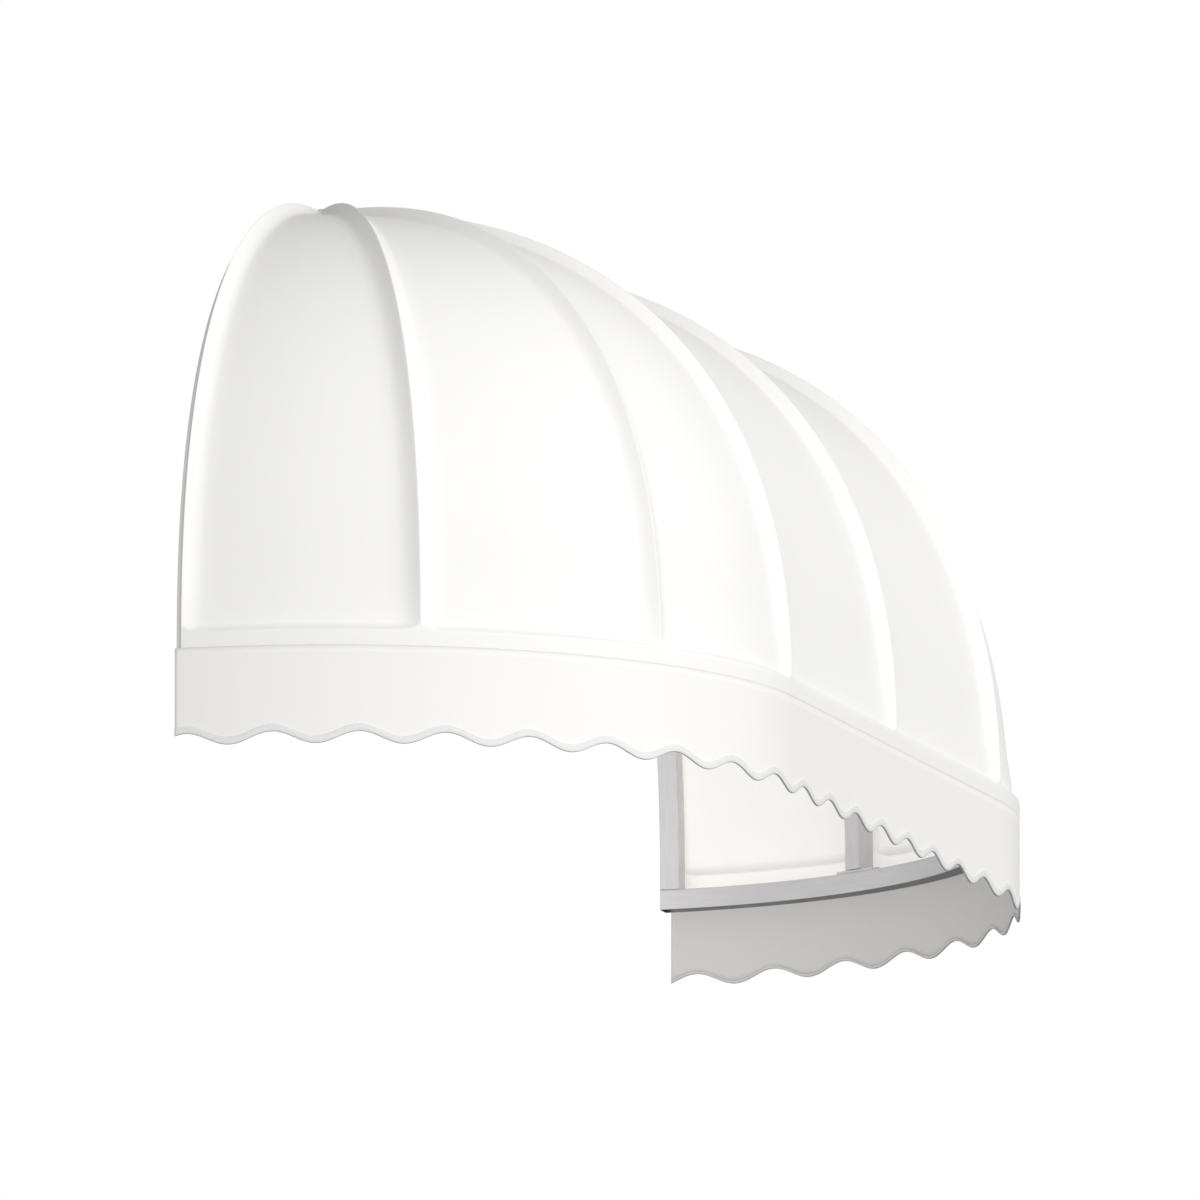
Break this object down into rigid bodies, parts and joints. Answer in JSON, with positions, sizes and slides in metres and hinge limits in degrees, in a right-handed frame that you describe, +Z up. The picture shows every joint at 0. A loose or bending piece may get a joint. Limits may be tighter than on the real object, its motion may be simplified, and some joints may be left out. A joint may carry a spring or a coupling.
{
  "type": "window awning",
  "caption": "Elongated dome awning for a window: a ribbed fabric cover with quarter-round ends and a scalloped valance, stretched over a fixed frame of square aluminium tube.",
  "frame": {"origin": "centre of the back face of the header tube, on the wall plane, where the frame bears on the wall", "axes": "+X along the wall to the right as seen from outside, +Y into the wall (the awning stands out along -Y), +Z up"},
  "size_m": [2.0184, 0.6112, 0.7511],
  "materials": {
    "cover_fabric": "matte woven awning cloth",
    "binding_tape": "matte woven tape",
    "frame_aluminium": "satin mill finish"
  },
  "bodies": {
    "root": {"cover": "cover_fabric", "valance": "cover_fabric", "valance_binding": "binding_tape", "base_rail": "frame_aluminium", "header_tube": "frame_aluminium", "wall_arch_left": "frame_aluminium", "wall_arch_right": "frame_aluminium", "outer_rib_left": "frame_aluminium", "inner_rib_left": "frame_aluminium", "corner_rib_left": "frame_aluminium", "middle_rib": "frame_aluminium", "corner_rib_right": "frame_aluminium", "inner_rib_right": "frame_aluminium", "outer_rib_right": "frame_aluminium", "foot_plate_1": "frame_aluminium", "foot_plate_2": "frame_aluminium", "foot_plate_3": "frame_aluminium", "foot_plate_4": "frame_aluminium", "foot_plate_5": "frame_aluminium", "foot_plate_6": "frame_aluminium", "foot_plate_7": "frame_aluminium"}
  },
  "joints": []
}
